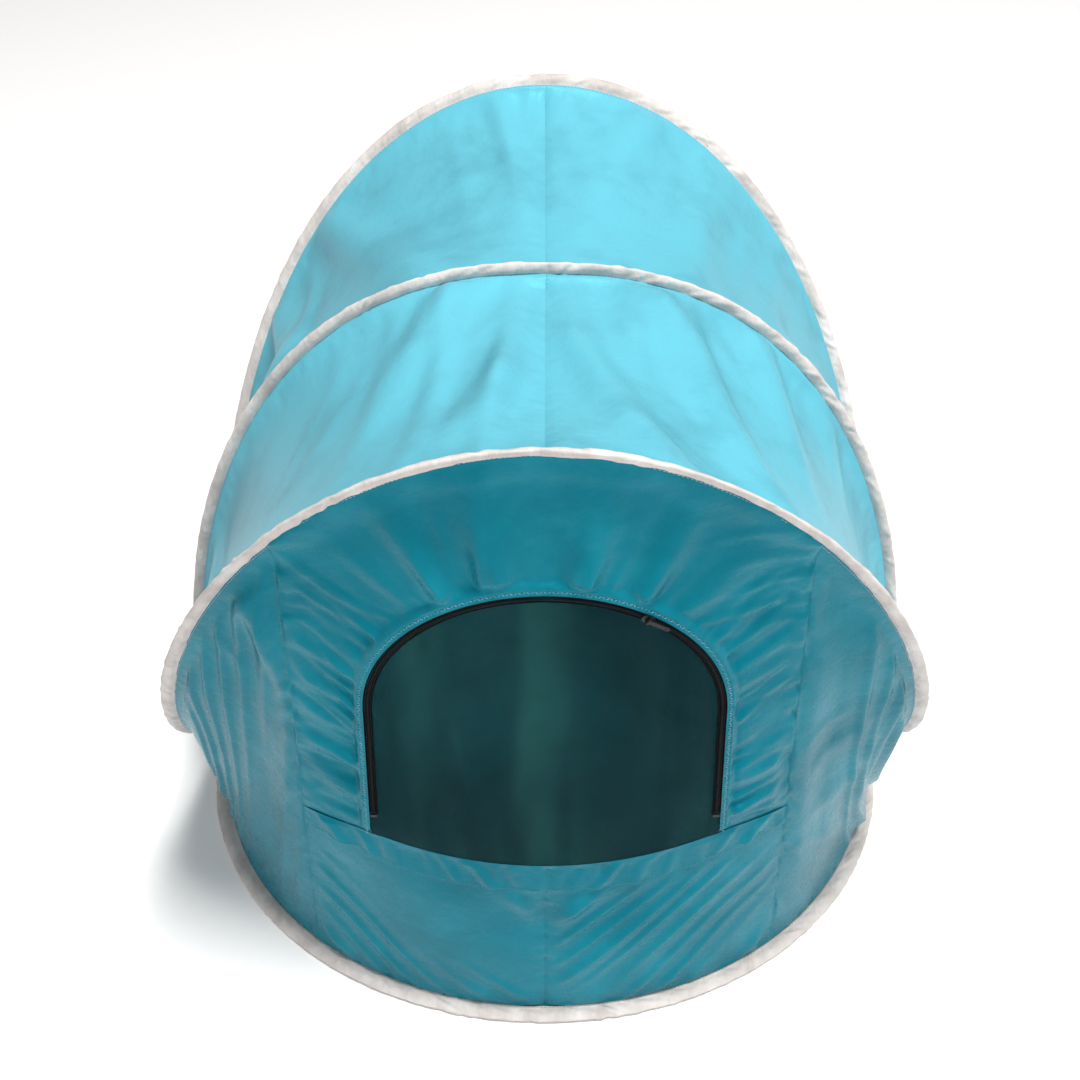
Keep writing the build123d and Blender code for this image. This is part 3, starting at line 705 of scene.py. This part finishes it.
def crown_points(end, seed):
    """The wall round the door: gathered on to the zipper, with long folds up to the arch."""
    columns, rows = 640, 100
    rim = crown_rim(columns, end)
    corner = columns // 4
    place = np.interp(np.arange(columns), [0, corner, columns - corner, columns - 1], [0, 0.355, 0.645, 1])
    x, z = door_line(place, COIL_HALF + 0.0010)
    z = np.maximum(z, hem_height(x))
    out = (np.linspace(0, 1, rows) ** 1.5)[None, :]
    grid_x = x[:, None] * (1 - out) + rim[:, 0][:, None] * out
    grid_z = z[:, None] * (1 - out) + rim[:, 2][:, None] * out
    base = wall_at(grid_x, grid_z, end)
    base[..., 1] += ((rim[:, 1] - base[:, -1, 1])[:, None]) * ramp(out, 0.75, 1.0)
    normals = outward_normals(base)
    away = arc_length(base.transpose(1, 0, 2)).transpose(1, 0)
    left = away[:, -1:] - away
    run = arc_length(base)[:, :1] * np.ones_like(away)
    turn = np.linspace(0, 1, columns)[:, None] * np.ones_like(away)
    top = ramp(turn, 0.24, 0.36) * ramp(1 - turn, 0.24, 0.36)
    over_hem = grid_z - hem_height(grid_x)
    gather = wrinkles(run, away, pitch=0.017, length=0.09, height=0.0048, seed=seed)
    gather = gather * np.exp(-away / 0.060) * (1 - 0.45 * top)
    small = wrinkles(run, away, pitch=0.009, length=0.04, height=0.0020, seed=seed + 2)
    gather += small * np.exp(-away / 0.020)
    long_folds = folds(away, run, angle=0.0, pitch=0.050, stretch=7.0, height=0.016, seed=seed + 4)
    narrow = folds(away, run, angle=0.10, pitch=0.026, stretch=6.0, height=0.006, seed=seed + 5)
    long_folds = long_folds * np.exp(-away / 0.13) + narrow * np.exp(-away / 0.09)
    long_folds = long_folds * (0.30 + 0.70 * top)
    drift = noise(run / 0.17, away / 0.10, seed + 6) * 0.0055 * (1 - 0.3 * top)
    fine = folds(away, run, angle=0.5, pitch=0.030, stretch=3.0, height=0.0020, seed=seed + 8)
    foot = pucker(over_hem, grid_x, pitch=0.012, reach=0.016, height=0.0022, seed=seed + 16)
    foot = foot * ramp(over_hem, 0.001, 0.006)
    held = ramp(left, 0.006, 0.03) * ramp(away, 0.008, 0.024) * ramp(over_hem, 0.002, 0.03)
    hem = (TAPE_LIFT + 0.0013) * (1 - ramp(away, HEM_WIDTH, 2 * HEM_WIDTH))
    hem = hem + 0.0006 * np.exp(-(((away - 0.0085) / 0.0015) ** 2))
    crimp = pucker(away, run, pitch=0.0080, reach=0.012, height=0.0011, seed=seed + 10)
    hem = hem + crimp * ramp(away, 0.001, 0.004)
    drawn = wrinkles(grid_z, left, pitch=0.024, length=0.06, height=0.0028, seed=seed + 12)
    side_seam = seam_groove(left, grid_z, 900 + end) + drawn * np.exp(-left / 0.03)
    arch_edge = pucker(left, run, pitch=0.012, reach=0.018, height=0.0018, seed=seed + 14)
    edges = side_seam * (1 - top) * ramp(left, 0, 0.003) + arch_edge * top * ramp(left, 0.006, 0.02)
    loose = (gather + long_folds + drift + fine + foot) * held
    height = hem * ramp(over_hem, 0.001, 0.012) + loose + edges
    return base + normals * height[..., None]


def sill_points(end, seed):
    """Below the door: folds that run from the band's ends down to the middle of the base."""
    share = np.linspace(1 - SEAM_SHARE, SEAM_SHARE, 300)
    low, rows = SLEEVE_THICKNESS, 130
    high = hem_height(wall_points(share, SILL_TOP, end)[:, 0])
    fall = np.linspace(0, 1, rows)[None, :]
    grid_z = high[:, None] * (1 - fall) + low * fall
    base = wall_points(share[:, None] * np.ones_like(fall), grid_z, end)
    normals = outward_normals(base)
    v = high[:, None] - grid_z
    u = base[..., 0]
    outward = np.abs(u)
    left = np.abs(base[:1, :, 0]) - outward
    below = ramp(v, SILL_BAND_HEIGHT, SILL_BAND_HEIGHT + 0.05)
    slant = np.zeros_like(v)
    for half, mark in ((u < 0, seed), (u >= 0, seed + 30)):
        wide = folds(outward, v, SILL_SLANT, pitch=0.070, stretch=6.0, height=0.0130, seed=mark)
        narrow = folds(outward, v, SILL_SLANT + 0.15, pitch=0.036, stretch=6.0, height=0.0040, seed=mark + 2)
        slant += (wide + narrow) * half * ramp(outward, 0, 0.04)
    drift = noise(u / 0.13, v / 0.10, seed + 4) * 0.0045
    free = ramp(v, 0, 0.012) * ramp(grid_z - low, 0, 0.03) * ramp(left, 0, 0.03)
    centre = ramp(v, SILL_BAND_HEIGHT, SILL_BAND_HEIGHT + 0.01)
    centre = centre * (seam_groove(u, v, seed + 8) - 0.003 * np.exp(-outward / 0.02))
    base_edge = pucker(grid_z - low, u, pitch=0.014, reach=0.025, height=0.0026, seed=seed + 10)
    base_edge = base_edge * ramp(grid_z - low, 0, 0.006)
    sides = seam_groove(left, v, seed + 12) * ramp(left, 0, 0.003)
    height = (slant + drift) * below * free + centre + base_edge + sides
    return base + normals * height[..., None], normals


def make_sill_band(label, sill, normals, seed):
    """The doubled band under the door: sewn at its top, standing a little off at its lower edge."""
    rows, columns = 36, sill.shape[0]
    fall = np.linspace(0, 1, rows)
    x = sill[:, 0, 0]
    depth = SILL_BAND_HEIGHT * (1 - 0.28 * ramp(np.abs(x), 0.14, 0.29))
    high = hem_height(x)
    grid_z = high[:, None] - depth[:, None] * fall[None, :]
    over = 0.003 * (1 - ramp(fall, 0, 0.15))[None, :] * ramp(np.abs(x), DOOR_FOOT_HALF_WIDTH, 0.19)[:, None]
    points = np.empty((columns, rows, 3))
    for column in range(columns):
        heights = sill[column, ::-1, 2]
        for k in range(3):
            points[column, :, k] = np.interp(grid_z[column], heights, sill[column, ::-1, k])
    outward = normals[:, :1] * np.ones((1, rows, 1))
    u = x[:, None] * np.ones((1, rows))
    v = depth[:, None] * fall[None, :]
    left = np.max(np.abs(x)) - np.abs(u)
    loose = 0.6 + 0.4 * noise(u / 0.05, v * 0, seed)
    lift = 0.0010 + 0.0022 * ramp(fall[None, :], 0.1, 0.95) * loose
    slanted = folds(np.abs(u), v, angle=-1.0, pitch=0.034, stretch=3.0, height=0.0060, seed=seed + 2)
    upright = wrinkles(u, v, pitch=0.016, length=0.05, height=0.0016, seed=seed + 3)
    crimp = slanted * ramp(left, 0, 0.03) + upright * ramp(left, 0, 0.02)
    crimp += pucker(v, u, pitch=0.010, reach=0.012, height=0.0022, seed=seed + 4)
    crimp *= ramp(v, 0, 0.008)
    crimp += pucker(depth[:, None] - v, u, pitch=0.012, reach=0.009, height=0.0014, seed=seed + 5)
    rolled = -0.0016 * ramp(fall[None, :], 0.97, 1.0)
    points = points + outward * (lift + crimp * 0.8 + rolled + over * 0.25)[..., None]
    points[..., 2] += over
    name, node = f"{label}_sill_band_cloth", f"{label}_sill_band"
    cloth(name, points, WALL_SHADED, "shell", [node])
    line = points[3:-3, int(rows * 0.93)] + outward[3:-3, 0] * 0.0004
    stitches(f"{label}_band_stitching", line, THREAD)


def make_end_wall(label, end):
    """Gussets, crown, sill and band of one end, with their stitching."""
    skip_top, skip_foot = 12, 8  # points of the seam that the bindings hide
    rear = 50 * (end > 0)  # keeps the rear wall's random folds apart from the front's
    for side_label, side in SIDES.items():
        seed = 200 + 30 * (end > 0) + 60 * (side > 0)
        points = gusset_points(end, side, seed)
        name, node = f"{label}_gusset_cloth_{side_label}", f"{label}_gusset_{side_label}"
        cloth(name, points, WALL_SHADED, "shell", [node])
        inset = points[-1] + unit(points[-3] - points[-1]) * 0.0022
        inset = inset[skip_top:-skip_foot] + np.array([0, end * 0.0010, 0])
        stitches(f"{label}_seam_stitching_{side_label}", inset, THREAD)
    crown = crown_points(end, 400 + rear)
    cloth(f"{label}_crown_cloth", crown, WALL_SHADED, "shell", [f"{label}_crown"])
    sill, sill_normals = sill_points(end, 500 + rear)
    cloth(f"{label}_sill_cloth", sill, WALL_SHADED, "shell", [f"{label}_sill"])
    make_sill_band(label, sill, sill_normals, 600 + rear)
    middle = sill.shape[0] // 2
    line = sill[middle, 20:-4] + np.array([0.0016, end * 0.0007, 0])
    stitches(f"{label}_sill_stitching", line, THREAD)
    x, z = door_line(np.linspace(0.02, 0.98, 500), HEM_WIDTH + 0.0005)
    line = wall_at(x, z, end, TAPE_LIFT + 0.0021)
    outward = unit(np.stack([x, x * 0, z - DOOR_CENTRE_Z], axis=-1))
    outward[z < DOOR_CENTRE_Z] = unit(np.stack([x, x * 0, z * 0], axis=-1)[z < DOOR_CENTRE_Z])
    name = f"{label}_overlock_stitching"
    stitches(name, line, PALE_THREAD, length=0.0038, gap=0.0004, radius=0.00030, side=outward)


# --- door, zipper, floor -------------------------------------------------------------------------------
def door_points(end, seed):
    """The net door with its apron below: hung from the zipper, with soft folds."""
    straight, round_rows, columns = 90, 70, 130
    side = np.linspace(0, 1, straight)
    turn = np.linspace(0, math.pi / 2, round_rows + 1)[1:]
    under_coil = 0.003
    low_z = SILL_TOP + (DOOR_CENTRE_Z - SILL_TOP) * side
    z = np.concatenate([low_z, DOOR_CENTRE_Z + (DOOR_RADIUS - under_coil) * np.sin(turn)])
    half = DOOR_FOOT_HALF_WIDTH + (DOOR_RADIUS - DOOR_FOOT_HALF_WIDTH) * side
    tucked = 0.009 * (1 - ramp(low_z, HINGE_Z - 0.006, HINGE_Z - 0.001))
    half = np.concatenate([half - under_coil + tucked, (DOOR_RADIUS - under_coil) * np.cos(turn)])
    half = np.maximum(half, 0.0015)
    across = np.linspace(-1, 1, columns)[None, :]
    x = half[:, None] * across
    low = hem_height(x) - 0.002
    rise = (z[:, None] - SILL_TOP) / (DOOR_CENTRE_Z - SILL_TOP)
    grid_z = np.where(rise < 1, low + rise * (DOOR_CENTRE_Z - low), z[:, None])
    base = wall_at(x, grid_z, end)
    normals = outward_normals(base)
    edge = np.minimum(half[:, None] - np.abs(x), grid_z - low)
    free = ramp(edge, 0, 0.05)
    soft = wrinkles(x, grid_z, pitch=0.075, length=0.40, height=0.0045, seed=seed)
    soft = soft + noise(x / 0.12, grid_z / 0.2, seed + 2) * 0.0035
    sewn = pucker(edge, x + grid_z, pitch=0.010, reach=0.012, height=0.0006, seed=seed + 4)
    height = 0.0008 + soft * free + sewn
    return base + normals * height[..., None]


def make_zipper(label, end):
    """Two woven tapes, and a coil of small interlocking elements between them."""
    foot = HINGE_Z + 0.0006
    share = np.linspace(0, 1, 700)
    fixed_edge, door_edge = 0.0108, -0.0052
    tapes = (("fixed", COIL_HALF, fixed_edge, "shell"), ("door", door_edge, -COIL_HALF, f"{label}_door"))
    for part, inner, outer, body in tapes:
        columns = []
        for grow in np.linspace(inner, outer, 7):
            x, z = door_line(share, grow, foot)
            ripple = 0.00018 * noise(share * 160, share * 0 + grow * 400, 33)
            columns.append(wall_at(x, z, end, TAPE_LIFT + ripple))
        points = np.stack(columns, axis=1)
        node = f"{label}_zip_tape_{part}"
        faces = grid_faces(*points.shape[:2])
        new_piece(f"{node}_weave", points, faces, TAPE, body, [node])
    x, z = door_line(share, 0.0, foot)
    line = wall_at(x, z, end, TAPE_LIFT)
    run = arc_length(line)
    pitch, stagger = 0.0021, 0.0006
    half_width, half_length, half_height = 0.0023, 0.00046, 0.00105
    vertices, faces = [], []
    out = np.array([0, end, 0], float)
    for index, place in enumerate(np.arange(pitch, run[-1] - pitch, pitch / 2)):
        centre = np.array([np.interp(place, run, line[:, k]) for k in range(3)])
        ahead = np.array([np.interp(place + pitch, run, line[:, k]) for k in range(3)])
        along = unit(ahead - centre)
        across = unit(np.cross(along, out))
        up = np.cross(across, along)
        shift = stagger * (1 if index % 2 else -1)
        first = len(vertices)
        for level, width in ((-1.0, 0.86), (0.35, 1.0), (1.0, 0.62)):
            for corner in ((-1, -1), (1, -1), (1, 1), (-1, 1)):
                offset = across * (shift + corner[0] * half_width * width)
                offset = offset + along * corner[1] * half_length * width + up * level * half_height
                vertices.append(centre + offset)
        for level in range(2):
            for k in range(4):
                a, b = first + level * 4 + k, first + level * 4 + (k + 1) % 4
                faces.append([a, b, b + 4, a + 4])
        faces.append([first + 3, first + 2, first + 1, first])
        faces.append([first + 8, first + 9, first + 10, first + 11])
    name, chain = f"{label}_zip_coil", f"{label}_zip_chain"
    new_piece(name, np.array(vertices), faces, COIL, f"{label}_door", [chain])


def make_door(label, end):
    """Net and zipper of one door; the net turns smoothly into its apron along the fold."""
    hinge = next(j for j in frame["joints"] if j["name"] == f"{label}_door_fold")
    y = hinge["pos_m"][1]
    bend = 0.014
    body = ("shell", f"{label}_door", (0, y, HINGE_Z - bend), (0, y, HINGE_Z + bend))
    points = door_points(end, 700 + 50 * (end > 0))
    nodes = [f"{label}_door_mesh", f"{label}_door_apron"]
    cloth(f"{label}_door_net", points, NET, body, nodes)
    make_zipper(label, end)


def make_floor():
    """Groundsheet inside the base ring, with soft folds that run from door to door."""
    low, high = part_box("floor_sheet")
    line = np.linspace(-1, 1, 260)
    u, v = line[:, None], line[None, :]
    x = high.x * u * np.sqrt(1 - v * v / 2)
    y = high.y * v * np.sqrt(1 - u * u / 2)
    rim = 1 - np.hypot(x / high.x, y / high.y)
    wave = folds(y, x, angle=0.10, pitch=0.110, stretch=6.0, height=0.016, seed=800)
    wave += folds(y, x, angle=-0.25, pitch=0.070, stretch=5.0, height=0.009, seed=805)
    wave += noise(x / 0.12, y / 0.25, 803) * 0.004 + 0.004
    points = xyz(x, y, low.z + 0.0006 + wave * ramp(rim, 0, 0.15))
    cloth("groundsheet", points, FLOOR, "shell", ["floor_sheet"])


make_arch_bindings()
make_base_bindings()
make_pockets()
make_roof()
for end_label, end_sign in ENDS.items():
    make_end_wall(end_label, end_sign)
    make_door(end_label, end_sign)
make_floor()

# --- CAD pieces that stay as they are ---------------------------------------------------------------
KEPT = {"strip": STEEL, "ferrule": CRIMP, "zip_slider": METAL, "zip_pull": METAL, "zip_stops": METAL}
for node, part in frame["nodes"].items():
    for word, material in KEPT.items():
        if word in node:
            part.data.materials.clear()
            part.data.materials.append(material)

# --- studio ------------------------------------------------------------------------------------------
def area_light(name, place, aim, size, power, colour):
    """A soft square light that faces a point."""
    light = bpy.data.lights.new(name, "AREA")
    light.size = size
    light.energy = power
    light.color = colour
    lamp = bpy.data.objects.new(name, light)
    direction = np.array(aim, float) - np.array(place, float)
    lamp.location = place
    lamp.rotation_euler = (
        math.atan2(math.hypot(direction[0], direction[1]), -direction[2]),
        0,
        math.atan2(direction[0], -direction[1]) + math.pi,
    )
    bpy.context.scene.collection.objects.link(lamp)


area_light("key", (1.3, -0.9, 8.0), aim=(0, 0, 0.4), size=2.0, power=780, colour=(1, 0.98, 0.96))
area_light("front", (1.4, -6.0, 4.5), aim=(0, 0, 0.3), size=1.2, power=165, colour=(0.97, 0.99, 1))

world = bpy.data.worlds.new("studio")
bpy.context.scene.world = world
world.use_nodes = True
world.node_tree.nodes["Background"].inputs["Color"].default_value = (1, 1, 1, 1)
world.node_tree.nodes["Background"].inputs["Strength"].default_value = 0.23

FLOOR_REACH = 12.0
ground = bpy.data.meshes.new("studio_floor")
corners = [(x * FLOOR_REACH, y * FLOOR_REACH, -0.0005) for x, y in ((-1, -1), (1, -1), (1, 1), (-1, 1))]
ground.from_pydata(corners, [], [(0, 1, 2, 3)])
ground.materials.append(PAPER)
floor = bpy.data.objects.new("studio_floor", ground)
bpy.context.scene.collection.objects.link(floor)

# The camera stands at eye height in front of the pod and looks down on it.
EYE_HEIGHT, EYE_DISTANCE, LOOK_DOWN = 1.690, 1.405, 0.723
camera_data = bpy.data.cameras.new("camera")
camera_data.lens = 46.67
camera_data.shift_x = -0.0046
camera = bpy.data.objects.new("camera", camera_data)
camera.location = (0, -EYE_DISTANCE, EYE_HEIGHT)
camera.rotation_euler = (math.pi / 2 - LOOK_DOWN, 0, 0)
bpy.context.scene.collection.objects.link(camera)
bpy.context.scene.camera = camera
bpy.context.scene.view_settings.view_transform = "Standard"
